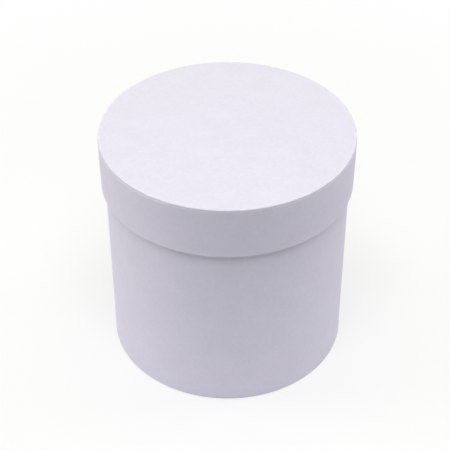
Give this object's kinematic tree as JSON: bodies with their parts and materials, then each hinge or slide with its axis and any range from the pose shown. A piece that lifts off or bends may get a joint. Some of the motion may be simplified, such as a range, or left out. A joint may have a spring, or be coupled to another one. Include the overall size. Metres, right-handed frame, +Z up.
{
  "type": "flower box",
  "caption": "Round paper-covered board box with a deep lift-off lid that telescopes over the body, for arranging, carrying and giving cut flowers.",
  "frame": {"origin": "centre of the underside, on the surface that the box stands on", "axes": "+Z up along the axis of the round box, -Y towards the front, with the paper seams at the back on the +Y side"},
  "size_m": [0.2076, 0.2076, 0.205],
  "materials": {
    "cover_paper": "matte",
    "lining_paper": "matte",
    "board": "matte"
  },
  "bodies": {
    "box": {"body_tube": "board", "body_lining": "lining_paper", "base_board": "board", "floor_lining": "lining_paper", "body_wrap": "cover_paper", "base_sheet": "cover_paper"},
    "lid": {"lid_ring": "board", "lid_ring_lining": "lining_paper", "lid_board": "board", "lid_lining": "lining_paper", "lid_cover": "cover_paper", "lid_strip": "cover_paper"}
  },
  "joints": [
    {"name": "lid_lift", "type": "slide", "parent": "box", "child": "lid", "axis": [0, 0, 1], "range_m": [0, 0.15]}
  ]
}
